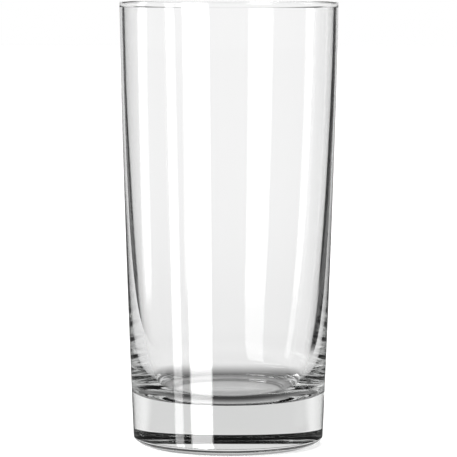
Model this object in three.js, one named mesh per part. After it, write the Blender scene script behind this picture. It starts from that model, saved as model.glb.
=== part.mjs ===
// Collins glass: a tall, slightly tapered tumbler of clear glass with a heavy solid base.
// Millimetres, +Z up. The origin is on the axis, at the plane that the glass stands on.
// The glass is a solid of revolution, built as five zones that lie face to face:
// the foot, the solid base, the thick lower wall, the thin upper wall and the fire-polished rim.
import * as THREE from "three";

// Outside of the glass
const GLASS_HEIGHT = 146;
const MOUTH_DIAMETER = 72; // outside, at the lip
const HEEL_DIAMETER = 62.8; // outside, just over the heel
const SIDE_BOW = 0.4; // how far the side bows out from a straight taper, half way up
const HEEL_HEIGHT = 2.7; // soft bevel from the side into the foot
const HEEL_WIDTH = 3.6; // how far that bevel draws in
const HEEL_BLEND = 0.9; // length over which the bevel eases into the side and into the foot

// Foot
const BEARING_WIDTH = 2.8; // flat ring that stands on the table
const PUSH_UP = 0.9; // height of the shallow hollow inside the ring
const HOLLOW_EDGE = 6; // width of the rounded edge of that hollow, round its flat middle

// Drink space
const BASE_THICKNESS = 15.7; // table to the floor of the drink space
const CORNER_RADIUS = 9; // rounding from the floor into the wall
const CORNER_LEAN = 20; // lean of the wall where the rounding ends, in degrees from upright
const CORNER_WALL = 6.7; // thickness of the wall where the rounding ends
const RIM_WALL = 1.6; // thickness of the wall just under the lip
const RIM_LEAN = 0.7; // lean of the inside of the wall under the lip, in degrees from upright
const RIM_PULL = 34; // length of wall that the lean under the lip carries into
const CORNER_PULL = 16; // length of wall that the lean over the rounding carries into

// Rim
const LIP_SWELL = 0.32; // how far the lip stands in from the wall, inside
const LIP_DROP = 1.3; // from the thickest part of the lip down to the even wall, inside
const LIP_EDGE = 0.5; // radius of the rounded edges of the lip
const RIM_DEPTH = 3; // height of the zone that the flame softened

// Where the zones meet
const BASE_SEAM_ANGLE = 30; // base and lower wall: this far round the corner, in degrees from its lowest point
const WALL_SEAM_HEIGHT = 44; // lower and upper wall: height over the table

// Fineness of the facets
const TURN_STEPS = 64;
const UPPER_WALL_STEPS = 10;
const LOWER_WALL_STEPS = 6;
const BASE_STEPS = 2;
const HEEL_STEPS = 6;
const PUSH_UP_STEPS = 5;
const CORNER_STEPS = 5;
const DISH_STEPS = 3;
const LIP_STEPS = 4;
const UNDER_LIP_STEPS = 4;

const UP = Math.PI / 2;
const mouthRadius = MOUTH_DIAMETER / 2;
const heelRadius = HEEL_DIAMETER / 2;
const rimJoin = GLASS_HEIGHT - RIM_DEPTH;
const cornerLean = THREE.MathUtils.degToRad(CORNER_LEAN);
const rimLean = THREE.MathUtils.degToRad(RIM_LEAN);
const baseSeamAngle = THREE.MathUtils.degToRad(BASE_SEAM_ANGLE);

// A point of the profile: its distance from the axis and its height.
function at(radius, height) {
  return new THREE.Vector2(radius, height);
}

// Points along an arc, from one angle to another. Angle 0 points away from the axis.
function arc(centre, radius, from, to, steps) {
  const clockwise = to < from;
  return new THREE.EllipseCurve(centre.x, centre.y, radius, radius, from, to, clockwise).getPoints(steps);
}

// Outside radius of the side at a height: a straight taper with a slight bow.
function outsideRadius(height) {
  const share = (height - HEEL_HEIGHT) / (rimJoin - HEEL_HEIGHT);
  const taper = THREE.MathUtils.lerp(heelRadius, mouthRadius, share);
  return taper + 4 * SIDE_BOW * share * (1 - share);
}

// Points up the outside of the side, between two heights.
function outsideOfSide(from, to, steps) {
  const points = [];
  for (let step = 0; step <= steps; step += 1) {
    const height = THREE.MathUtils.lerp(from, to, step / steps);
    points.push(at(outsideRadius(height), height));
  }
  return points;
}

// The rounded corner of the drink space
const cornerTopHeight = BASE_THICKNESS + CORNER_RADIUS * (1 - Math.sin(cornerLean));
const cornerTopRadius = outsideRadius(cornerTopHeight) - CORNER_WALL;
const cornerTop = at(cornerTopRadius, cornerTopHeight);
const floorRadius = cornerTopRadius - CORNER_RADIUS * Math.cos(cornerLean);
const cornerCentre = at(floorRadius, BASE_THICKNESS + CORNER_RADIUS);
const baseSeamHeight = BASE_THICKNESS + CORNER_RADIUS * (1 - Math.cos(baseSeamAngle));

// The inside of the wall, from under the lip down to the corner
const insideTop = at(mouthRadius - RIM_WALL, rimJoin);
const insideWall = new THREE.CubicBezierCurve(
  insideTop,
  at(insideTop.x - RIM_PULL * Math.tan(rimLean), rimJoin - RIM_PULL),
  at(cornerTop.x + CORNER_PULL * Math.tan(cornerLean), cornerTop.y + CORNER_PULL),
  cornerTop,
);
const wallSeamShare = alongInsideWall(WALL_SEAM_HEIGHT);

// How far along the inside of the wall a height lies, found by halving: 0 is under the lip, 1 at the corner.
function alongInsideWall(height) {
  let above = 0;
  let below = 1;
  for (let halving = 0; halving < 50; halving += 1) {
    const middle = (above + below) / 2;
    if (insideWall.getPoint(middle).y > height) {
      above = middle;
    } else {
      below = middle;
    }
  }
  return (above + below) / 2;
}

// Points down the inside of the wall, between two shares of its length.
function insideOfWall(from, to, steps) {
  const points = [];
  for (let step = 0; step <= steps; step += 1) {
    points.push(insideWall.getPoint(THREE.MathUtils.lerp(from, to, step / steps)));
  }
  return points;
}

// Foot: softly bevelled heel, flat bearing ring and a shallow, flat hollow under the middle.
function footProfile() {
  const ringOuter = heelRadius - HEEL_WIDTH;
  const ringInner = ringOuter - BEARING_WIDTH;
  const hollowEdge = new THREE.QuadraticBezierCurve(
    at(ringInner - HOLLOW_EDGE, PUSH_UP),
    at(ringInner - HOLLOW_EDGE / 2, PUSH_UP),
    at(ringInner, 0),
  );
  const heel = new THREE.CubicBezierCurve(
    at(ringOuter, 0),
    at(ringOuter + HEEL_BLEND, 0),
    at(heelRadius, HEEL_HEIGHT - HEEL_BLEND),
    at(heelRadius, HEEL_HEIGHT),
  );
  return [
    at(0, PUSH_UP),
    ...hollowEdge.getPoints(PUSH_UP_STEPS),
    ...heel.getPoints(HEEL_STEPS),
    at(0, HEEL_HEIGHT),
  ];
}

// Base: the solid block, with the floor of the drink space and the start of its corner on top.
function baseProfile() {
  return [
    at(0, HEEL_HEIGHT),
    ...outsideOfSide(HEEL_HEIGHT, baseSeamHeight, BASE_STEPS),
    ...arc(cornerCentre, CORNER_RADIUS, baseSeamAngle - UP, -UP, DISH_STEPS),
    at(0, BASE_THICKNESS),
  ];
}

// Lower wall: it thickens downward into the rest of the corner.
function lowerWallProfile() {
  const profile = [
    ...outsideOfSide(baseSeamHeight, WALL_SEAM_HEIGHT, LOWER_WALL_STEPS),
    ...insideOfWall(wallSeamShare, 1, LOWER_WALL_STEPS),
    ...arc(cornerCentre, CORNER_RADIUS, -cornerLean, baseSeamAngle - UP, CORNER_STEPS).slice(1),
  ];
  profile.push(profile[0].clone());
  return profile;
}

// Upper wall: nearly even, and thinnest under the lip.
function upperWallProfile() {
  const profile = [
    ...outsideOfSide(WALL_SEAM_HEIGHT, rimJoin, UPPER_WALL_STEPS),
    ...insideOfWall(0, wallSeamShare, UPPER_WALL_STEPS),
  ];
  profile.push(profile[0].clone());
  return profile;
}

// Rim: the wall swells inward into a lip with rounded edges, and the outside stays flush.
function rimProfile() {
  const lipHeight = GLASS_HEIGHT - LIP_EDGE;
  const lipInside = insideTop.x - LIP_SWELL;
  const underRadius = (LIP_DROP ** 2 + LIP_SWELL ** 2) / (2 * LIP_SWELL);
  const underSweep = Math.asin(LIP_DROP / underRadius);
  const outerEdge = at(mouthRadius - LIP_EDGE, lipHeight);
  const innerEdge = at(lipInside + LIP_EDGE, lipHeight);
  const underCentre = at(lipInside + underRadius, lipHeight);
  return [
    at(mouthRadius, rimJoin),
    ...arc(outerEdge, LIP_EDGE, 0, UP, LIP_STEPS),
    ...arc(innerEdge, LIP_EDGE, UP, Math.PI, LIP_STEPS),
    ...arc(underCentre, underRadius, Math.PI, Math.PI + underSweep, UNDER_LIP_STEPS).slice(1),
    insideTop,
    at(mouthRadius, rimJoin),
  ];
}

// A zone of the glass: its profile turned about the axis, with its own clear material.
function zone(name, profile) {
  const geometry = new THREE.LatheGeometry(profile, TURN_STEPS);
  geometry.rotateX(UP);
  const material = new THREE.MeshStandardMaterial({
    name: "clear_glass",
    color: 0xf2f5f4,
    roughness: 0.03,
    metalness: 0,
    transparent: true,
    opacity: 0.3,
  });
  const mesh = new THREE.Mesh(geometry, material);
  mesh.name = name;
  return mesh;
}

const glass = new THREE.Group();
glass.name = "collins_glass";
glass.add(zone("foot", footProfile()));
glass.add(zone("base", baseProfile()));
glass.add(zone("lower_wall", lowerWallProfile()));
glass.add(zone("upper_wall", upperWallProfile()));
glass.add(zone("rim", rimProfile()));

export default glass;
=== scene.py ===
"""Collins glass: the visual model, the studio it stands in and the camera.

Metres, +Z up. The origin is on the axis of the glass, at the plane that it stands on.
"""

import math
from typing import NamedTuple

import bpy
from mathutils import Matrix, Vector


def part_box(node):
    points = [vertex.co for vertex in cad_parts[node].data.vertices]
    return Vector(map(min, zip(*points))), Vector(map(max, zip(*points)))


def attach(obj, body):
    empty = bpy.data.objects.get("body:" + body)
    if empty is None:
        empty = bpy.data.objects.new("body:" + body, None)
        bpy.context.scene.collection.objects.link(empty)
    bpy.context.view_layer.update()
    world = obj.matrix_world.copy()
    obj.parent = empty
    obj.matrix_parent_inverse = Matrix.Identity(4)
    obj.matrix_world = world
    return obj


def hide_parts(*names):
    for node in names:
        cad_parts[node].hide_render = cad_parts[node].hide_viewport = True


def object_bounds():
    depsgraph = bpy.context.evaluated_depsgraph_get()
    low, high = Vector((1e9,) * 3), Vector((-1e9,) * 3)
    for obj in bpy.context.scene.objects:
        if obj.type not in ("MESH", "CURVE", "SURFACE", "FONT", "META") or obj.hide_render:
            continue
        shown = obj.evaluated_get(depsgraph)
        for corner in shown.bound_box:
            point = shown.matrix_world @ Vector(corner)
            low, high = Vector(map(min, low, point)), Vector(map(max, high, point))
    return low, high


bl_info = {
    "name": "Collins Glass",
    "version": (1, 0, 0),
    "blender": (4, 5, 0),
    "location": "View3D > Sidebar > Collins Glass",
    "description": "Builds a heavy-based collins glass and the studio that it stands in",
    "category": "Add Mesh",
}

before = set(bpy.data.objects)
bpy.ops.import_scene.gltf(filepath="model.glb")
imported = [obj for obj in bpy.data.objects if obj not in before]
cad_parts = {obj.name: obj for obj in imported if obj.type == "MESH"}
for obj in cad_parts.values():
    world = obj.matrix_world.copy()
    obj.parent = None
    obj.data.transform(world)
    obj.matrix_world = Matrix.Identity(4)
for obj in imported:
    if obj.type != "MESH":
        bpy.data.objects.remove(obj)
CAD_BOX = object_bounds()
FOOT_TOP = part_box("foot")[1]
WALL_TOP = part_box("upper_wall")[1]

GLASS_NAME = "collins_glass"
GLASS_NODES = ("foot", "base", "lower_wall", "upper_wall", "rim")
GLASS_SLOT = "clear_glass"
BEARING_MARK = "bearing_ring"
INSIDE_MARK = "inside_wall"
SIDE_MARK = "outside"
MARKS = (BEARING_MARK, INSIDE_MARK, SIDE_MARK)


class GlassSizes(bpy.types.PropertyGroup):
    """Sizes of the glass."""

    height: bpy.props.FloatProperty(
        name="Height",
        description="From the table to the top of the lip",
        default=CAD_BOX[1].z,
        unit="LENGTH",
    )
    mouth_diameter: bpy.props.FloatProperty(
        name="Mouth Diameter",
        description="Outside, at the lip",
        default=2 * WALL_TOP.x,
        unit="LENGTH",
    )
    heel_diameter: bpy.props.FloatProperty(
        name="Heel Diameter",
        description="Outside, just over the heel",
        default=2 * FOOT_TOP.x,
        unit="LENGTH",
    )
    side_bow: bpy.props.FloatProperty(
        name="Side Bow",
        description="How far the side bows out from a straight taper, half way up",
        default=0.0004,
        unit="LENGTH",
    )
    heel_height: bpy.props.FloatProperty(
        name="Heel Height",
        description="Height of the soft bevel from the side into the foot",
        default=FOOT_TOP.z,
        unit="LENGTH",
    )
    heel_width: bpy.props.FloatProperty(
        name="Heel Width",
        description="How far that bevel draws in",
        default=0.0036,
        unit="LENGTH",
    )
    heel_blend: bpy.props.FloatProperty(
        name="Heel Blend",
        description="Length over which the bevel eases into the side and into the foot",
        default=0.0009,
        unit="LENGTH",
    )
    bearing_width: bpy.props.FloatProperty(
        name="Bearing Width",
        description="Width of the flat ring that stands on the table",
        default=0.0028,
        unit="LENGTH",
    )
    push_up: bpy.props.FloatProperty(
        name="Push-up",
        description="Height of the shallow hollow inside the bearing ring",
        default=0.0009,
        unit="LENGTH",
    )
    hollow_edge: bpy.props.FloatProperty(
        name="Hollow Edge",
        description="Width of the rounded edge of that hollow, round its flat middle",
        default=0.006,
        unit="LENGTH",
    )
    base_thickness: bpy.props.FloatProperty(
        name="Base Thickness",
        description="From the table to the floor of the drink space",
        default=0.0157,
        unit="LENGTH",
    )
    corner_radius: bpy.props.FloatProperty(
        name="Corner Radius",
        description="Rounding from the floor of the drink space into the wall",
        default=0.009,
        unit="LENGTH",
    )
    corner_lean: bpy.props.FloatProperty(
        name="Corner Lean",
        description="Lean of the inside of the wall where the rounding ends",
        default=math.radians(20),
        subtype="ANGLE",
    )
    corner_wall: bpy.props.FloatProperty(
        name="Corner Wall",
        description="Thickness of the wall where the rounding ends",
        default=0.0067,
        unit="LENGTH",
    )
    rim_wall: bpy.props.FloatProperty(
        name="Rim Wall",
        description="Thickness of the wall just under the lip",
        default=0.0016,
        unit="LENGTH",
    )
    rim_lean: bpy.props.FloatProperty(
        name="Rim Lean",
        description="Lean of the inside of the wall under the lip",
        default=math.radians(0.7),
        subtype="ANGLE",
    )
    rim_pull: bpy.props.FloatProperty(
        name="Rim Pull",
        description="Length of wall that the lean under the lip carries into",
        default=0.034,
        unit="LENGTH",
    )
    corner_pull: bpy.props.FloatProperty(
        name="Corner Pull",
        description="Length of wall that the lean over the rounding carries into",
        default=0.016,
        unit="LENGTH",
    )
    lip_swell: bpy.props.FloatProperty(
        name="Lip Swell",
        description="How far the lip stands in from the wall, inside",
        default=0.00032,
        unit="LENGTH",
    )
    lip_drop: bpy.props.FloatProperty(
        name="Lip Drop",
        description="From the thickest part of the lip down to the even wall, inside",
        default=0.0013,
        unit="LENGTH",
    )
    lip_edge: bpy.props.FloatProperty(
        name="Lip Edge",
        description="Radius of the rounded edges of the lip",
        default=0.0005,
        unit="LENGTH",
    )
    rim_depth: bpy.props.FloatProperty(
        name="Rim Depth",
        description="Height of the zone that the flame softened",
        default=CAD_BOX[1].z - WALL_TOP.z,
        unit="LENGTH",
    )
    turn_steps: bpy.props.IntProperty(
        name="Turn Steps",
        description="Facets in one turn about the axis",
        default=256,
        min=16,
    )


class GlassFinish(bpy.types.PropertyGroup):
    """Colours and finish of the glass, and the colour of its painted dark edges."""

    thick_colour: bpy.props.FloatVectorProperty(
        name="Thick Colour",
        description="Colour that white light takes on in the thick glass",
        default=(0.9, 0.902, 0.9),
        size=3,
        min=0.0,
        max=1.0,
        subtype="COLOR",
    )
    absorption: bpy.props.FloatProperty(
        name="Absorption",
        description="How strongly the glass takes on that colour",
        default=46.0,
        min=0.0,
    )
    refraction: bpy.props.FloatProperty(
        name="Index of Refraction",
        description="Soda-lime glass",
        default=1.52,
        min=1.0,
    )
    # Painted shade: the colour painted where the eye looks along the surface, not a colour that the glass
    # has.
    painted_edge_colour: bpy.props.FloatVectorProperty(
        name="Edge Colour",
        description="Colour of the glass where the eye looks along its surface",
        default=(0.004, 0.004, 0.004),
        size=3,
        min=0.0,
        max=1.0,
        subtype="COLOR",
    )
    ripple_height: bpy.props.FloatProperty(
        name="Ripple Height",
        description="Height of the faint ripples that blowing leaves in the wall",
        default=0.00003,
        unit="LENGTH",
    )
    ring_wear: bpy.props.FloatProperty(
        name="Ring Wear",
        description="Roughness of the scuffed bearing ring",
        default=0.3,
        min=0.0,
        max=1.0,
    )


class StageSettings(bpy.types.PropertyGroup):
    """Camera and light of the studio."""

    camera_distance: bpy.props.FloatProperty(
        name="Camera Distance",
        description="From the axis of the glass to the lens, along the floor",
        default=1.0,
        unit="LENGTH",
    )
    camera_height: bpy.props.FloatProperty(
        name="Camera Height",
        description="Height of the lens over the table",
        default=0.153,
        unit="LENGTH",
    )
    camera_pitch: bpy.props.FloatProperty(
        name="Camera Pitch",
        description="How far the camera looks down",
        default=0.0815,
        subtype="ANGLE",
    )
    camera_roll: bpy.props.FloatProperty(
        name="Camera Roll",
        description="How far the camera is turned about its line of sight",
        default=math.radians(0.1),
        subtype="ANGLE",
    )
    camera_lens: bpy.props.FloatProperty(
        name="Camera Lens",
        description="Focal length in millimetres, on a sensor 36 mm wide",
        default=239.6,
        min=1.0,
        unit="CAMERA",
    )
    backdrop_light: bpy.props.FloatProperty(
        name="Backdrop Light",
        description="Brightness of the backdrop and table as the glass shows them",
        default=1.0,
        min=0.0,
    )
    surround_light: bpy.props.FloatProperty(
        name="Surround Light",
        description="Brightness of the studio as the glass mirrors it, between the light panels",
        default=0.12,
        min=0.0,
    )
    ceiling_light: bpy.props.FloatProperty(
        name="Ceiling Light",
        description="Brightness of the unlit studio over the backdrop",
        default=0.005,
        min=0.0,
    )
    backdrop_top: bpy.props.FloatProperty(
        name="Backdrop Top",
        description="Angle over the table at which the bright backdrop ends",
        default=math.radians(16),
        subtype="ANGLE",
    )
    table_glow: bpy.props.FloatProperty(
        name="Table Glow",
        description="Light that the table adds for the camera, so that it shows as white",
        default=0.74,
        min=0.0,
    )
    # The shade and the pool of light below are painted on the table, as the glass shows it: a painted shadow
    # and a painted pool of light.
    shade_start: bpy.props.FloatProperty(
        name="Shade Start",
        description="Distance from the axis at which the shade of the glass on the table is darkest",
        default=0.024,
        unit="LENGTH",
    )
    shade_depth: bpy.props.FloatProperty(
        name="Shade Depth",
        description="Share of the light that is left where that shade is darkest",
        default=0.05,
        min=0.0,
        max=1.0,
    )
    shade_end: bpy.props.FloatProperty(
        name="Shade End",
        description="Distance from the axis at which that shade ends",
        default=0.065,
        unit="LENGTH",
    )
    pool_light: bpy.props.FloatProperty(
        name="Pool Light",
        description="Share of the light that falls through the glass on the table under it",
        default=0.63,
        min=0.0,
    )
    pool_shift: bpy.props.FloatProperty(
        name="Pool Shift",
        description="How far back from the axis the middle of that pool of light lies",
        default=0.005,
        unit="LENGTH",
    )


class LightPanel(NamedTuple):
    """A soft panel of light beside the glass. Angles are in degrees, azimuth from +Y toward +X."""

    name: str
    azimuth: float
    half_width: float
    soft_edge: float
    lowest: float
    highest: float
    mirrored: float
    through: float


class DarkFlag(NamedTuple):
    """A dark flag by the backdrop: its side, where its inner edge starts by the axis, and its slope."""

    name: str
    side: float
    start: float
    slope: float


# For a direction, rise is how far up it points, ahead is how far it points toward +Y, and nearness is 1 over
# the distance at which it meets the table.
# A panel has one brightness where the glass mirrors it, and one where it is seen through the glass.
LIGHT_PANELS = (
    LightPanel("softbox", -145, 13.5, 2, lowest=-30, highest=32, mirrored=14.0, through=4.0),
    LightPanel("wide strip", -116, 5, 1.5, lowest=-30, highest=16, mirrored=6.5, through=0.0),
    LightPanel("narrow strip", -74.7, 6, 2, lowest=-7.8, highest=4, mirrored=3.0, through=3.0),
)
PANEL_FADE = math.radians(1.8)  # softness of the lower and upper edges
PANEL_LEAN = 0.9  # how far the panels lean outward as they rise
PANEL_LEVEL = -0.05  # rise at which they stand at their own azimuth
PANEL_NEARNESS = (3.5, 6.5)  # nearness over which the table by the glass takes their place
PANEL_LOSS = 0.8  # share of their light that is lost when it is thrown twice inside the glass

# The flags are seen only by light that was thrown about inside the glass.
DARK_FLAGS = (
    DarkFlag("right flag", side=1.0, start=0.055, slope=0.36),
    DarkFlag("left flag", side=-1.0, start=0.086, slope=0.41),
)
FLAG_EDGE = 0.012  # softness of their edges
FLAG_TOP = (0.0, 0.05)  # rise over which they end
FLAG_BEHIND = (0.0, 0.5)  # how far ahead a direction points, from beside the glass to well behind it
FLAG_BESIDE_SHARE = 0.3  # how much of them is left beside and before the glass, for light thrown once
FLAG_NEARNESS = (10.0, 13.0)  # nearness over which the table by the foot takes their place
FLAG_NEAR_SHARE = 0.1  # how much of them is left there

# Light that was thrown about inside the glass, by the number of times
THROWN_TWICE = (1.0, 2.0)
THROWN_OFTEN = (3.0, 4.0)
OFTEN_SHADE = 0.85  # brightness of the table for light thrown often
MOST_CROSSINGS = 2.5  # light that has gone through one body of glass has crossed fewer surfaces
FRONT_AHEAD = (-0.2, 0.2)  # how far ahead a direction points where the unlit front of the studio ends
FRONT_NEARNESS = (8.0, 13.0)  # nearness over which the table takes the place of that front

# The backdrop, the table, and bright cards at the sides, which show through the solid base
BACKDROP_FADE = math.radians(3)  # softness of the backdrop's top edge
CARD_GAIN = 0.38  # how much brighter the cards are
CARD_SLOPE = (0.85, 1.35)  # metres back for each metre sideways where the cards start
CARD_AHEAD = (0.0, 0.3)  # how far ahead a direction points where the cards end toward the front
MIRRORED_BACKDROP = (0.95, 0.99)  # how far ahead a direction points where the glass mirrors the backdrop
MIRRORED_TABLE = 0.8  # brightness of the table where the glass mirrors it
MIRRORED_TABLE_END = (math.sin(math.radians(-45)), math.sin(math.radians(-25)))  # rise where that ends
TABLE_HALF = 6.0
TABLE_DROP = 0.00005  # how far the table lies under the foot, so that no faces coincide
TABLE_COLOUR = (0.8, 0.8, 0.8, 1.0)
TABLE_WHITE = (0.2, 0.8)  # distances between which the table turns fully white for the camera
TABLE_NEARNESS = (0.5, 4.0)  # nearness over which the painted shade dims the table toward the glass
TABLE_DIMMING = (0.985, 0.94)  # share of light left far from the glass and close to it, by that painted shade
POOL_EDGE = (0.01, 0.03)  # distances from its middle between which the painted pool of light ends
POOL_STRETCH = (0.75, 1.0, 1.0)  # the painted pool is wider than it is deep

LAMP_SIZE = 1.2
LAMP_HEIGHT = 1.5
LAMP_POWER = 18.0
LIGHT_BOUNCES = 24  # light crosses many surfaces of clear glass
SENSOR_WIDTH = 36.0
VIEW_END = 100.0

# Fineness of the stretches of the profile
HOLLOW_POINTS = 9
HOLLOW_EDGE_STEPS = 20
RING_POINTS = 5
HEEL_STEPS = 24
SIDE_STEPS = 64
RIM_POINTS = 8
LIP_POINTS = 12
LIP_TOP_POINTS = 6
UNDER_LIP_POINTS = 24
RIM_INSIDE_POINTS = 24
INSIDE_STEPS = 80
CORNER_POINTS = 40
FLOOR_POINTS = 13
WELD_DISTANCE = 2e-6

# Finish of the glass, and its painted dark edges: painted shade where the eye looks along it. Facing is 0
# where the eye looks straight at the surface, and 1 along it.
CLEAR = (1.0, 1.0, 1.0, 1.0)
RIPPLE_SCALE = (70.0, 70.0, 22.0)
PAINTED_WALL_LINE_START = (0.044, 0.056)  # heights between which the painted dark lines along the wall start
PAINTED_WALL_LINE_FACING = (0.8, 0.86)
THIN_WALL = (0.08, 0.14)  # heights between which the wall grows thin, and the painted lines with it
THIN_WALL_SHIFT = 0.08
PAINTED_BASE_LINE_END = (0.015, 0.023)  # heights between which the painted dark outline of the solid base ends
PAINTED_BASE_LINE_FACING = (0.72, 0.88)
SCUFF_SCALE = 900.0
SCUFF_RANGE = (0.4, 0.65)

HALF_TURN = math.pi
QUARTER_TURN = math.pi / 2
SIZE_KEYS = tuple(key for key in GlassSizes.__annotations__ if key != "turn_steps")


class Wiring:
    """Adds nodes to a tree and links them, so that a rule reads as one line."""

    def __init__(self, tree):
        self.tree = tree

    def feed(self, socket, value):
        """Links an output to a socket, or sets the socket's own value."""
        if isinstance(value, bpy.types.NodeSocket):
            self.tree.links.new(value, socket)
        else:
            socket.default_value = value

    def node(self, kind, settings=None, **inputs):
        """Adds a node. Names of inputs are written with _ for a space."""
        made = self.tree.nodes.new(kind)
        for name, value in (settings or {}).items():
            setattr(made, name, value)
        for name, value in inputs.items():
            label = name.replace("_", " ")
            socket = next(s for s in made.inputs if s.name == label and s.enabled)
            self.feed(socket, value)
        return made

    def group(self, tree):
        """Places a node group."""
        made = self.tree.nodes.new(self.tree.bl_idname.replace("NodeTree", "NodeGroup"))
        made.node_tree = tree
        return made

    def maths(self, operation, *values):
        """Adds a Math node and gives its result."""
        made = self.tree.nodes.new("ShaderNodeMath")
        made.operation = operation
        for socket, value in zip(made.inputs, values):
            self.feed(socket, value)
        return made.outputs[0]

    def product(self, first, *others):
        """Multiplies numbers together."""
        for other in others:
            first = self.maths("MULTIPLY", first, other)
        return first

    def rest(self, share):
        """What a share leaves of 1."""
        return self.maths("SUBTRACT", 1.0, share)

    def vector(self, operation, *values):
        """Adds a Vector Math node and gives its result, a number where it is one."""
        made = self.tree.nodes.new("ShaderNodeVectorMath")
        made.operation = operation
        for socket, value in zip(made.inputs, values):
            self.feed(socket, value)
        return made.outputs["Value"] if operation in ("DOT_PRODUCT", "LENGTH") else made.outputs["Vector"]

    def parts(self, vector):
        """The X, Y and Z of a vector."""
        return self.node("ShaderNodeSeparateXYZ", Vector=vector).outputs

    def ramp(self, value, low, high, start=0.0, end=1.0):
        """A smooth rise or fall between two values."""
        made = self.tree.nodes.new("ShaderNodeMapRange")
        made.interpolation_type = "SMOOTHSTEP"
        for socket, given in zip(made.inputs, (value, low, high, start, end)):
            self.feed(socket, given)
        return made.outputs[0]

    def blend(self, share, first, second):
        """Mixes two colours."""
        made = self.tree.nodes.new("ShaderNodeMix")
        made.data_type = "RGBA"
        sockets = [socket for socket in made.inputs if socket.enabled]
        for socket, given in zip(sockets, (share, first, second)):
            self.feed(socket, given)
        return next(socket for socket in made.outputs if socket.enabled)


class ProfileWiring(Wiring):
    """Draws stretches of the profile, which lies in X (distance from the axis) and Y (height)."""

    def point(self, radius, height):
        """A point of the profile."""
        return self.node("ShaderNodeCombineXYZ", X=radius, Y=height).outputs[0]

    def straight(self, points, start, end):
        """A straight line with a number of points."""
        line = self.node("GeometryNodeCurvePrimitiveLine", Start=start, End=end).outputs[0]
        evened = self.node("GeometryNodeResampleCurve", {"mode": "COUNT"}, Curve=line, Count=points)
        return evened.outputs[0]

    def quadratic(self, steps, start, middle, end):
        """A curve with one handle."""
        kind = "GeometryNodeCurveQuadraticBezier"
        return self.node(kind, Resolution=steps, Start=start, Middle=middle, End=end).outputs[0]

    def cubic(self, steps, start, start_handle, end_handle, end):
        """A curve with a handle at each end."""
        made = self.node(
            "GeometryNodeCurvePrimitiveBezierSegment",
            Resolution=steps,
            Start=start,
            Start_Handle=start_handle,
            End_Handle=end_handle,
            End=end,
        )
        return made.outputs[0]

    def arc(self, points, centre, radius, start, sweep):
        """Part of a circle, with a number of points."""
        kind = "GeometryNodeCurveArc"
        bent = self.node(kind, Resolution=points, Radius=radius, Start_Angle=start, Sweep_Angle=sweep)
        return self.node("GeometryNodeTransform", Geometry=bent.outputs[0], Translation=centre).outputs[0]


def turn_group():
    """A group that turns a profile about the Z axis."""
    tree = bpy.data.node_groups.new("Turn About Axis", "GeometryNodeTree")
    tree.interface.new_socket("Profile", in_out="INPUT", socket_type="NodeSocketGeometry")
    tree.interface.new_socket("Turn Steps", in_out="INPUT", socket_type="NodeSocketInt")
    tree.interface.new_socket("Surface", in_out="OUTPUT", socket_type="NodeSocketGeometry")
    wire = Wiring(tree)
    given = tree.nodes.new("NodeGroupInput").outputs
    evaluated = wire.node("GeometryNodeResampleCurve", {"mode": "EVALUATED"}, Curve=given["Profile"])
    profile = evaluated.outputs[0]
    size = wire.node("GeometryNodeAttributeDomainSize", {"component": "CURVE"}, Geometry=profile)
    count = size.outputs["Point Count"]
    columns = wire.maths("ADD", given["Turn Steps"], 1)
    grid = wire.node("GeometryNodeMeshGrid", Vertices_X=columns, Vertices_Y=count).outputs["Mesh"]
    index = tree.nodes.new("GeometryNodeInputIndex").outputs[0]
    along = wire.maths("MODULO", index, count)
    turn = wire.maths("FLOOR", wire.maths("DIVIDE", wire.maths("ADD", index, 0.5), count))
    angle = wire.maths("MULTIPLY", wire.maths("DIVIDE", turn, given["Turn Steps"]), 2 * math.pi)
    place = tree.nodes.new("GeometryNodeInputPosition").outputs[0]
    sample = wire.node(
        "GeometryNodeSampleIndex", {"data_type": "FLOAT_VECTOR"}, Geometry=profile, Value=place, Index=along
    )
    radius, height, _ = wire.parts(next(s for s in sample.outputs if s.enabled))
    turned = wire.node(
        "ShaderNodeCombineXYZ",
        X=wire.maths("MULTIPLY", radius, wire.maths("COSINE", angle)),
        Y=wire.maths("MULTIPLY", radius, wire.maths("SINE", angle)),
        Z=height,
    )
    moved = wire.node("GeometryNodeSetPosition", Geometry=grid, Position=turned.outputs[0])
    wire.node("NodeGroupOutput", Surface=moved.outputs[0])
    return tree


def foot_stretches(wire, given, heel):
    """The hollow under the foot, its edge, the bearing ring and the bevelled heel."""
    maths = wire.maths
    point = wire.point
    push_up = given["Push-up"]
    heel_top = given["Heel Height"]
    blend = given["Heel Blend"]
    ring_outer = maths("SUBTRACT", heel, given["Heel Width"])
    ring_inner = maths("SUBTRACT", ring_outer, given["Bearing Width"])
    flat_end = maths("SUBTRACT", ring_inner, given["Hollow Edge"])
    edge_middle = maths("MULTIPLY_ADD", given["Hollow Edge"], 0.5, flat_end)
    hollow = wire.straight(HOLLOW_POINTS, point(0.0, push_up), point(flat_end, push_up))
    hollow_edge = wire.quadratic(
        HOLLOW_EDGE_STEPS, point(flat_end, push_up), point(edge_middle, push_up), point(ring_inner, 0.0)
    )
    ring = wire.straight(RING_POINTS, point(ring_inner, 0.0), point(ring_outer, 0.0))
    bevel = wire.cubic(
        HEEL_STEPS,
        point(ring_outer, 0.0),
        point(maths("ADD", ring_outer, blend), 0.0),
        point(heel, maths("SUBTRACT", heel_top, blend)),
        point(heel, heel_top),
    )
    return [(hollow, None), (hollow_edge, None), (ring, BEARING_MARK), (bevel, None)]


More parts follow.
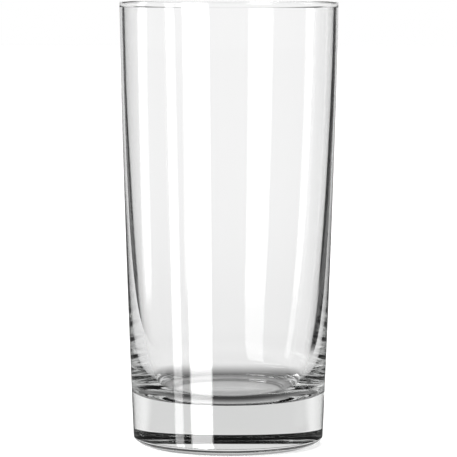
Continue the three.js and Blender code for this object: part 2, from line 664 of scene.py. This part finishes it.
def side_stretch(wire, given, heel, mouth, rim_join):
    """The outside of the glass, from the heel to the rim."""
    maths = wire.maths
    heel_top = given["Heel Height"]
    straight_middle = maths("MULTIPLY", maths("ADD", mouth, heel), 0.5)
    bowed_middle = maths("MULTIPLY_ADD", given["Side Bow"], 2, straight_middle)
    middle_height = maths("MULTIPLY", maths("ADD", heel_top, rim_join), 0.5)
    side = wire.quadratic(
        SIDE_STEPS,
        wire.point(heel, heel_top),
        wire.point(bowed_middle, middle_height),
        wire.point(mouth, rim_join),
    )
    return [(side, SIDE_MARK)]


def rim_stretches(wire, given, mouth, inside_top, rim_join):
    """The rim, from its outside over the lip and down to the even wall inside."""
    maths = wire.maths
    point = wire.point
    top = given["Height"]
    edge = given["Lip Edge"]
    swell = given["Lip Swell"]
    drop = given["Lip Drop"]
    lip_height = maths("SUBTRACT", top, edge)
    lip_inner = maths("SUBTRACT", inside_top, swell)
    outer_edge = maths("SUBTRACT", mouth, edge)
    inner_edge = maths("ADD", lip_inner, edge)
    squares = maths("ADD", maths("POWER", drop, 2), maths("POWER", swell, 2))
    under_radius = maths("DIVIDE", squares, maths("MULTIPLY", swell, 2))
    under_sweep = maths("ARCSINE", maths("DIVIDE", drop, under_radius))
    under_centre = point(maths("ADD", lip_inner, under_radius), lip_height)
    lip_foot = maths("SUBTRACT", lip_height, drop)
    outside = wire.straight(RIM_POINTS, point(mouth, rim_join), point(mouth, lip_height))
    lip_outside = wire.arc(LIP_POINTS, point(outer_edge, lip_height), edge, 0.0, QUARTER_TURN)
    lip_top = wire.straight(LIP_TOP_POINTS, point(outer_edge, top), point(inner_edge, top))
    lip_inside = wire.arc(LIP_POINTS, point(inner_edge, lip_height), edge, QUARTER_TURN, QUARTER_TURN)
    lip_under = wire.arc(UNDER_LIP_POINTS, under_centre, under_radius, HALF_TURN, under_sweep)
    inside = wire.straight(RIM_INSIDE_POINTS, point(inside_top, lip_foot), point(inside_top, rim_join))
    stretches = (outside, lip_outside, lip_top, lip_inside, lip_under, inside)
    return [(stretch, None) for stretch in stretches]


def inside_stretches(wire, given, heel, mouth, inside_top, rim_join):
    """The inside of the wall, the rounded corner and the floor of the drink space."""
    maths = wire.maths
    point = wire.point
    heel_top = given["Heel Height"]
    floor_height = given["Base Thickness"]
    lean = given["Corner Lean"]
    radius = given["Corner Radius"]
    corner_top = maths("MULTIPLY_ADD", radius, wire.rest(maths("SINE", lean)), floor_height)
    side_height = maths("SUBTRACT", rim_join, heel_top)
    share = maths("DIVIDE", maths("SUBTRACT", corner_top, heel_top), side_height)
    taper = maths("MULTIPLY_ADD", share, maths("SUBTRACT", mouth, heel), heel)
    bow = wire.product(given["Side Bow"], 4, share, wire.rest(share))
    corner_edge = maths("SUBTRACT", maths("ADD", taper, bow), given["Corner Wall"])
    floor_edge = maths("SUBTRACT", corner_edge, maths("MULTIPLY", radius, maths("COSINE", lean)))
    rim_reach = maths("MULTIPLY", given["Rim Pull"], maths("TANGENT", given["Rim Lean"]))
    corner_reach = maths("MULTIPLY", given["Corner Pull"], maths("TANGENT", lean))
    wall = wire.cubic(
        INSIDE_STEPS,
        point(inside_top, rim_join),
        point(maths("SUBTRACT", inside_top, rim_reach), maths("SUBTRACT", rim_join, given["Rim Pull"])),
        point(maths("ADD", corner_edge, corner_reach), maths("ADD", corner_top, given["Corner Pull"])),
        point(corner_edge, corner_top),
    )
    corner = wire.arc(
        CORNER_POINTS,
        point(floor_edge, maths("ADD", floor_height, radius)),
        radius,
        maths("MULTIPLY", lean, -1),
        maths("SUBTRACT", lean, QUARTER_TURN),
    )
    floor = wire.straight(FLOOR_POINTS, point(floor_edge, floor_height), point(0.0, floor_height))
    return [(wall, INSIDE_MARK), (corner, None), (floor, None)]


def glass_tree():
    """The glass as a rule: stretches of profile, each turned about the axis, welded into one skin."""
    tree = bpy.data.node_groups.new("Turned Glass", "GeometryNodeTree")
    for key in SIZE_KEYS:
        size = GlassSizes.bl_rna.properties[key]
        socket = tree.interface.new_socket(size.name, in_out="INPUT", socket_type="NodeSocketFloat")
        socket.default_value = size.default
    tree.interface.new_socket("Turn Steps", in_out="INPUT", socket_type="NodeSocketInt")
    tree.interface.new_socket("Material", in_out="INPUT", socket_type="NodeSocketMaterial")
    tree.interface.new_socket("Glass", in_out="OUTPUT", socket_type="NodeSocketGeometry")
    wire = ProfileWiring(tree)
    given = tree.nodes.new("NodeGroupInput").outputs
    mouth = wire.maths("MULTIPLY", given["Mouth Diameter"], 0.5)
    heel = wire.maths("MULTIPLY", given["Heel Diameter"], 0.5)
    rim_join = wire.maths("SUBTRACT", given["Height"], given["Rim Depth"])
    inside_top = wire.maths("SUBTRACT", mouth, given["Rim Wall"])
    stretches = [
        *foot_stretches(wire, given, heel),
        *side_stretch(wire, given, heel, mouth, rim_join),
        *rim_stretches(wire, given, mouth, inside_top, rim_join),
        *inside_stretches(wire, given, heel, mouth, inside_top, rim_join),
    ]

    turn = turn_group()
    joined = tree.nodes.new("GeometryNodeJoinGeometry")
    for stretch, own_mark in stretches:
        turned = wire.group(turn)
        wire.feed(turned.inputs["Profile"], stretch)
        wire.feed(turned.inputs["Turn Steps"], given["Turn Steps"])
        surface = turned.outputs["Surface"]
        for mark in MARKS:
            value = 1.0 if mark == own_mark else 0.0
            marked = wire.node("GeometryNodeStoreNamedAttribute", Geometry=surface, Name=mark, Value=value)
            surface = marked.outputs[0]
        wire.feed(joined.inputs[0], surface)
    welded = wire.node("GeometryNodeMergeByDistance", Geometry=joined.outputs[0], Distance=WELD_DISTANCE)
    smooth = wire.node("GeometryNodeSetShadeSmooth", Geometry=welded.outputs[0])
    real = wire.node("GeometryNodeRealizeInstances", Geometry=smooth.outputs[0])
    clad = wire.node("GeometryNodeSetMaterial", Geometry=real.outputs[0], Material=given["Material"])
    wire.node("NodeGroupOutput", Glass=clad.outputs[0])
    return tree


def painted_dark_edges(wire, height):
    """Painted shade: dark lines painted into the glass's colour where the eye looks along it, inside the
    wall and round the base.
    """
    facing = wire.node("ShaderNodeLayerWeight", Blend=0.5).outputs["Facing"]
    inside = wire.node("ShaderNodeAttribute", {"attribute_name": INSIDE_MARK}).outputs["Fac"]
    above_corner = wire.ramp(height, *PAINTED_WALL_LINE_START)
    thin_wall = wire.ramp(height, *THIN_WALL, 0.0, THIN_WALL_SHIFT)
    along_wall = wire.ramp(wire.maths("SUBTRACT", facing, thin_wall), *PAINTED_WALL_LINE_FACING)
    painted_wall_lines = wire.product(along_wall, inside, above_corner)
    side = wire.node("ShaderNodeAttribute", {"attribute_name": SIDE_MARK}).outputs["Fac"]
    round_base = wire.ramp(height, *PAINTED_BASE_LINE_END, 1.0, 0.0)
    painted_base_lines = wire.product(wire.ramp(facing, *PAINTED_BASE_LINE_FACING), side, round_base)
    return wire.maths("MAXIMUM", painted_wall_lines, painted_base_lines)


def glass_material(finish):
    """Clear polished glass: rippled a little by blowing, with painted shade along its edges where the eye
    looks along it, scuffed on its ring.
    """
    material = bpy.data.materials.new(GLASS_SLOT)
    material.use_nodes = True
    tree = material.node_tree
    tree.nodes.clear()
    wire = Wiring(tree)
    place = tree.nodes.new("ShaderNodeTexCoord").outputs["Object"]
    height = wire.parts(place)[2]

    ripple_place = wire.node("ShaderNodeMapping", Vector=place, Scale=RIPPLE_SCALE).outputs[0]
    ripple = wire.node("ShaderNodeTexNoise", Vector=ripple_place, Scale=1.0, Detail=1.0).outputs[0]
    bump = wire.node("ShaderNodeBump", Strength=1.0, Distance=finish.ripple_height, Height=ripple)
    # The base colour carries painted shade: dark lines where the eye looks along the glass.
    colour = wire.blend(painted_dark_edges(wire, height), CLEAR, (*finish.painted_edge_colour, 1.0))
    bearing = wire.node("ShaderNodeAttribute", {"attribute_name": BEARING_MARK}).outputs["Fac"]
    scuffs = wire.node("ShaderNodeTexNoise", Vector=place, Scale=SCUFF_SCALE, Detail=4.0).outputs[0]
    worn = wire.product(wire.ramp(scuffs, *SCUFF_RANGE), bearing, finish.ring_wear)

    shader = wire.node(
        "ShaderNodeBsdfPrincipled",
        Base_Color=colour,
        Roughness=worn,
        Normal=bump.outputs[0],
        IOR=finish.refraction,
        Transmission_Weight=1.0,
    )
    body = wire.node(
        "ShaderNodeVolumeAbsorption", Color=(*finish.thick_colour, 1.0), Density=finish.absorption
    )
    wire.node("ShaderNodeOutputMaterial", Surface=shader.outputs[0], Volume=body.outputs[0])
    return material


class BuildGlass(bpy.types.Operator):
    """Builds the glass as one seamless skin"""

    bl_idname = "collins.build_glass"
    bl_label = "Build Glass"

    def execute(self, context):
        sizes = context.scene.collins_sizes
        tree = glass_tree()
        values = {GlassSizes.bl_rna.properties[key].name: getattr(sizes, key) for key in SIZE_KEYS}
        values["Turn Steps"] = sizes.turn_steps
        values["Material"] = glass_material(context.scene.collins_finish)
        rule = bpy.data.objects.new("glass_rule", bpy.data.meshes.new("glass_rule"))
        context.scene.collection.objects.link(rule)
        modifier = rule.modifiers.new("Turned Glass", "NODES")
        modifier.node_group = tree
        for item in tree.interface.items_tree:
            if item.in_out == "INPUT":
                modifier[item.identifier] = values[item.name]
        depsgraph = context.evaluated_depsgraph_get()
        mesh = bpy.data.meshes.new_from_object(rule.evaluated_get(depsgraph))
        bpy.data.objects.remove(rule)
        mesh.name = GLASS_NAME
        if len(mesh.polygons) == 0:
            raise RuntimeError("the turned glass has no faces")
        glass = bpy.data.objects.new(GLASS_NAME, mesh)
        context.scene.collection.objects.link(glass)
        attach(glass, "root")
        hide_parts(*GLASS_NODES)
        return {"FINISHED"}


def behind_flags(wire, given, bearing, rise, seen):
    """Takes away what the dark flags keep off, for light that was thrown about inside the glass."""
    nearness = given["Nearness"]
    thrown = given["Thrown About"]
    ahead = wire.parts(bearing)[1]
    behind_glass = wire.ramp(ahead, *FLAG_BEHIND, FLAG_BESIDE_SHARE, 1.0)
    once = wire.product(behind_glass, wire.maths("MINIMUM", thrown, 1.0))
    flagged = wire.product(
        wire.maths("MAXIMUM", once, wire.ramp(thrown, *THROWN_TWICE)),
        wire.ramp(nearness, *FLAG_NEARNESS, 1.0, FLAG_NEAR_SHARE),
        wire.ramp(thrown, *THROWN_OFTEN, 1.0, 0.0),
        wire.ramp(rise, *FLAG_TOP, 1.0, 0.0),
    )
    for flag in DARK_FLAGS:
        across = wire.vector("DOT_PRODUCT", bearing, (flag.side, -flag.slope, 0.0))
        past_edge = wire.maths("SUBTRACT", across, wire.product(nearness, flag.start))
        covered = wire.product(wire.ramp(past_edge, -FLAG_EDGE, FLAG_EDGE), flagged)
        covered.node.label = flag.name
        seen = wire.product(seen, wire.rest(covered))
    return seen


def seen_backdrop(wire, given, settings, bearing, rise, below_top):
    """Brightness of the backdrop and the table as they are seen through the glass, without the panels."""
    nearness = given["Nearness"]
    thrown = given["Thrown About"]
    sideways, ahead, _ = wire.parts(bearing)
    any_throw = wire.maths("MINIMUM", thrown, 1.0)
    often = wire.ramp(thrown, *THROWN_OFTEN)
    shade = wire.maths("MAXIMUM", given["Shade"], wire.product(often, OFTEN_SHADE))
    seen = wire.product(below_top, shade, settings.backdrop_light)

    from_front = wire.product(
        wire.ramp(ahead, *FRONT_AHEAD, 1.0, 0.0),
        any_throw,
        wire.ramp(nearness, *FRONT_NEARNESS, 1.0, 0.0),
        wire.rest(often),
    )
    front_loss = wire.product(from_front, 1.0 - settings.surround_light)
    seen = wire.product(seen, wire.rest(front_loss))

    behind_base = wire.maths("MULTIPLY_ADD", nearness, -FOOT_TOP.x, ahead)
    slope = wire.maths("DIVIDE", behind_base, wire.maths("ABSOLUTE", sideways))
    cards = wire.product(
        wire.ramp(slope, *CARD_SLOPE, CARD_GAIN, 0.0),
        wire.rest(any_throw),
        given["Through One Body"],
        wire.ramp(ahead, *CARD_AHEAD),
    )
    seen = wire.product(seen, wire.maths("ADD", cards, 1.0))
    return behind_flags(wire, given, bearing, rise, seen)


def panel_light(wire, panel, panel_bearing, rise, far_enough):
    """How much of a light panel lies in a direction, from 0 to 1."""
    turn = math.radians(panel.azimuth)
    facing = wire.vector("DOT_PRODUCT", panel_bearing, (math.sin(turn), math.cos(turn), 0.0))
    outer = math.cos(math.radians(panel.half_width + panel.soft_edge))
    inner = math.cos(math.radians(panel.half_width - panel.soft_edge))
    foot = math.radians(panel.lowest)
    head = math.radians(panel.highest)
    lit = wire.product(
        wire.ramp(facing, outer, inner),
        far_enough,
        wire.ramp(rise, math.sin(foot - PANEL_FADE), math.sin(foot + PANEL_FADE)),
        wire.ramp(rise, math.sin(head - PANEL_FADE), math.sin(head + PANEL_FADE), 1.0, 0.0),
    )
    lit.node.label = panel.name
    return lit


def studio_light_group(settings):
    """A group that gives the brightness of the studio in a direction, as the glass shows or mirrors it.

    Nearness is 1 over the distance on the table, and 0 for what is far away. Shade is the share of light
    painted on the table there. Through Glass is 1 for light that comes through the surface of the glass, and
    0 for light that the surface mirrors. Through One Body is 1 for light that has gone through one wall or
    the solid base alone, and Thrown About is how often such light was mirrored inside it.
    """
    tree = bpy.data.node_groups.new("Studio Light", "ShaderNodeTree")
    tree.interface.new_socket("Direction", in_out="INPUT", socket_type="NodeSocketVector")
    for name in ("Nearness", "Shade", "Through Glass", "Thrown About", "Through One Body"):
        tree.interface.new_socket(name, in_out="INPUT", socket_type="NodeSocketFloat")
    tree.interface.new_socket("Brightness", in_out="OUTPUT", socket_type="NodeSocketFloat")
    wire = Wiring(tree)
    given = tree.nodes.new("NodeGroupInput").outputs
    rise = wire.parts(wire.vector("NORMALIZE", given["Direction"]))[2]
    bearing = wire.vector("NORMALIZE", wire.vector("MULTIPLY", given["Direction"], (1.0, 1.0, 0.0)))
    ahead = wire.parts(bearing)[1]
    low = math.sin(settings.backdrop_top - BACKDROP_FADE)
    high = math.sin(settings.backdrop_top + BACKDROP_FADE)
    below_top = wire.ramp(rise, low, high, 1.0, 0.0)

    seen = seen_backdrop(wire, given, settings, bearing, rise, below_top)
    mirrored_table = wire.ramp(rise, *MIRRORED_TABLE_END, MIRRORED_TABLE, settings.surround_light)
    mirrored_backdrop = wire.ramp(ahead, *MIRRORED_BACKDROP)
    mirrored = wire.product(below_top, wire.maths("MAXIMUM", mirrored_table, mirrored_backdrop))

    narrowing = wire.maths("MULTIPLY_ADD", rise, -PANEL_LEAN, 1.0 + PANEL_LEVEL * PANEL_LEAN)
    leaning = wire.node("ShaderNodeCombineXYZ", X=narrowing, Y=1.0).outputs[0]
    panel_bearing = wire.vector("NORMALIZE", wire.vector("MULTIPLY", bearing, leaning))
    twice = wire.ramp(given["Thrown About"], *THROWN_TWICE)
    panel_share = wire.rest(wire.product(twice, PANEL_LOSS))
    far_enough = wire.ramp(given["Nearness"], *PANEL_NEARNESS, 1.0, 0.0)
    for panel in LIGHT_PANELS:
        lit = panel_light(wire, panel, panel_bearing, rise, far_enough)
        seen = wire.maths("MULTIPLY_ADD", lit, wire.product(panel_share, panel.through), seen)
        mirrored = wire.maths("MULTIPLY_ADD", lit, panel.mirrored, mirrored)
    difference = wire.maths("SUBTRACT", seen, mirrored)
    brightness = wire.maths("MULTIPLY_ADD", given["Through Glass"], difference, mirrored)
    wire.node("NodeGroupOutput", Brightness=wire.maths("ADD", brightness, settings.ceiling_light))
    return tree


def studio_light(wire, light_group, path):
    """Places the studio light in a material or the world, and tells it which way the light came."""
    light = wire.group(light_group)
    one_body = wire.maths("LESS_THAN", path["Transmission Depth"], MOST_CROSSINGS)
    wire.feed(light.inputs["Through Glass"], path["Is Transmission Ray"])
    wire.feed(light.inputs["Thrown About"], wire.product(path["Glossy Depth"], one_body))
    wire.feed(light.inputs["Through One Body"], one_body)
    return light


def studio_world(light_group):
    """White for the camera. The glass shows and mirrors the studio: backdrop, panels and dark ceiling."""
    world = bpy.data.worlds.new("studio")
    world.use_nodes = True
    tree = world.node_tree
    tree.nodes.clear()
    wire = Wiring(tree)
    path = tree.nodes.new("ShaderNodeLightPath").outputs
    light = studio_light(wire, light_group, path)
    wire.feed(light.inputs["Direction"], tree.nodes.new("ShaderNodeTexCoord").outputs["Generated"])
    light.inputs["Shade"].default_value = 1.0
    shown = wire.node("ShaderNodeMix", Factor=path["Is Camera Ray"], A=light.outputs[0], B=1.0)
    background = wire.node("ShaderNodeBackground", Color=shown.outputs[0])
    wire.node("ShaderNodeOutputWorld", Surface=background.outputs[0])
    return world


def painted_table_shade(wire, settings, place, distance, nearness):
    """Share of light painted on the table: a painted shadow ring round the foot, a painted pool of light
    under it, painted dimming near it.
    """
    round_foot = wire.ramp(distance, settings.shade_start, settings.shade_end, settings.shade_depth, 1.0)
    from_pool = wire.vector("SUBTRACT", place, (0.0, settings.pool_shift, 0.0))
    across_pool = wire.vector("LENGTH", wire.vector("MULTIPLY", from_pool, POOL_STRETCH))
    pool = wire.ramp(across_pool, *POOL_EDGE, settings.pool_light, settings.shade_depth)
    toward_glass = wire.ramp(nearness, *TABLE_NEARNESS, *TABLE_DIMMING)
    return wire.product(wire.maths("MAXIMUM", pool, round_foot), toward_glass)


def table_material(settings, light_group):
    """Matt white table. It keeps the soft shadow of the glass for the camera; where the glass shows it, it
    glows, painted with a shadow near the foot and a pool of light under it.
    """
    material = bpy.data.materials.new("white_table")
    material.use_nodes = True
    tree = material.node_tree
    tree.nodes.clear()
    wire = Wiring(tree)
    path = tree.nodes.new("ShaderNodeLightPath").outputs
    place = tree.nodes.new("ShaderNodeTexCoord").outputs["Object"]
    distance = wire.vector("LENGTH", place)
    nearness = wire.maths("DIVIDE", 1.0, distance)

    matt = wire.node("ShaderNodeBsdfDiffuse", Color=TABLE_COLOUR)
    white = wire.ramp(distance, *TABLE_WHITE, settings.table_glow, 1.0)
    glow = wire.node("ShaderNodeEmission", Color=wire.product(path["Is Camera Ray"], white))
    for_camera = tree.nodes.new("ShaderNodeAddShader")
    wire.feed(for_camera.inputs[0], matt.outputs[0])
    wire.feed(for_camera.inputs[1], glow.outputs[0])

    light = studio_light(wire, light_group, path)
    wire.feed(light.inputs["Direction"], place)
    wire.feed(light.inputs["Nearness"], nearness)
    wire.feed(light.inputs["Shade"], painted_table_shade(wire, settings, place, distance, nearness))
    # Painted light: the glass sees the table glow with the studio light and its painted shadow and pool of
    # light.
    for_glass = wire.node("ShaderNodeEmission", Color=light.outputs[0])
    either = tree.nodes.new("ShaderNodeMixShader")
    wire.feed(either.inputs[0], wire.maths("MAXIMUM", path["Is Glossy Ray"], path["Is Transmission Ray"]))
    wire.feed(either.inputs[1], for_camera.outputs[0])
    wire.feed(either.inputs[2], for_glass.outputs[0])
    wire.node("ShaderNodeOutputMaterial", Surface=either.outputs[0])
    return material


def white_table(scene, material):
    """Adds the table. Its place is taken by the world where the glass mirrors it."""
    mesh = bpy.data.meshes.new("white_table")
    turns = ((-1, -1), (1, -1), (1, 1), (-1, 1))
    corners = [(x * TABLE_HALF, y * TABLE_HALF, -TABLE_DROP) for x, y in turns]
    mesh.from_pydata(corners, [], [(0, 1, 2, 3)])
    mesh.materials.append(material)
    table = bpy.data.objects.new("white_table", mesh)
    table.visible_glossy = False
    scene.collection.objects.link(table)


def overhead_softbox(scene):
    """Adds the lamp that gives the table its light and its soft shadow."""
    lamp = bpy.data.lights.new("overhead_softbox", "AREA")
    lamp.shape = "DISK"
    lamp.size = LAMP_SIZE
    lamp.energy = LAMP_POWER
    overhead = bpy.data.objects.new("overhead_softbox", lamp)
    overhead.location = (0.0, 0.0, LAMP_HEIGHT)
    overhead.visible_glossy = False
    overhead.visible_transmission = False
    scene.collection.objects.link(overhead)


def photo_camera(scene, settings):
    """Adds the camera at the viewing angle of the photograph."""
    lens = bpy.data.cameras.new("photo_camera")
    lens.sensor_width = SENSOR_WIDTH
    lens.lens = settings.camera_lens
    lens.clip_end = VIEW_END
    camera = bpy.data.objects.new("photo_camera", lens)
    place = Matrix.Translation((0.0, -settings.camera_distance, settings.camera_height))
    tilt = Matrix.Rotation(QUARTER_TURN - settings.camera_pitch, 4, "X")
    camera.matrix_world = place @ tilt @ Matrix.Rotation(settings.camera_roll, 4, "Z")
    scene.collection.objects.link(camera)
    scene.camera = camera


class BuildStage(bpy.types.Operator):
    """Builds the table, the backdrop, the light and the camera"""

    bl_idname = "collins.build_stage"
    bl_label = "Build Stage"

    def execute(self, context):
        scene = context.scene
        settings = scene.collins_stage
        light_group = studio_light_group(settings)
        scene.world = studio_world(light_group)
        scene.view_settings.view_transform = "Standard"
        scene.cycles.max_bounces = LIGHT_BOUNCES
        scene.cycles.transmission_bounces = LIGHT_BOUNCES
        scene.cycles.glossy_bounces = LIGHT_BOUNCES
        white_table(scene, table_material(settings, light_group))
        overhead_softbox(scene)
        photo_camera(scene, settings)
        return {"FINISHED"}


class GlassPanel(bpy.types.Panel):
    """Sizes, finish and stage of the glass"""

    bl_idname = "COLLINS_PT_glass"
    bl_label = "Collins Glass"
    bl_space_type = "VIEW_3D"
    bl_region_type = "UI"
    bl_category = "Collins Glass"

    def draw(self, context):
        groups = (
            (context.scene.collins_sizes, BuildGlass),
            (context.scene.collins_finish, None),
            (context.scene.collins_stage, BuildStage),
        )
        for group, operator in groups:
            box = self.layout.box()
            for key in type(group).__annotations__:
                box.prop(group, key)
            if operator is not None:
                box.operator(operator.bl_idname)


CLASSES = (GlassSizes, GlassFinish, StageSettings, BuildGlass, BuildStage, GlassPanel)


def register():
    """Registers the classes and gives the scene its sizes, finish and stage."""
    for cls in CLASSES:
        bpy.utils.register_class(cls)
    bpy.types.Scene.collins_sizes = bpy.props.PointerProperty(type=GlassSizes)
    bpy.types.Scene.collins_finish = bpy.props.PointerProperty(type=GlassFinish)
    bpy.types.Scene.collins_stage = bpy.props.PointerProperty(type=StageSettings)


def unregister():
    """Takes away what register adds."""
    del bpy.types.Scene.collins_stage
    del bpy.types.Scene.collins_finish
    del bpy.types.Scene.collins_sizes
    for cls in reversed(CLASSES):
        bpy.utils.unregister_class(cls)


def main():
    """Builds the glass and its stage."""
    register()
    bpy.ops.collins.build_glass()
    bpy.ops.collins.build_stage()


if __name__ == "__main__":
    main()
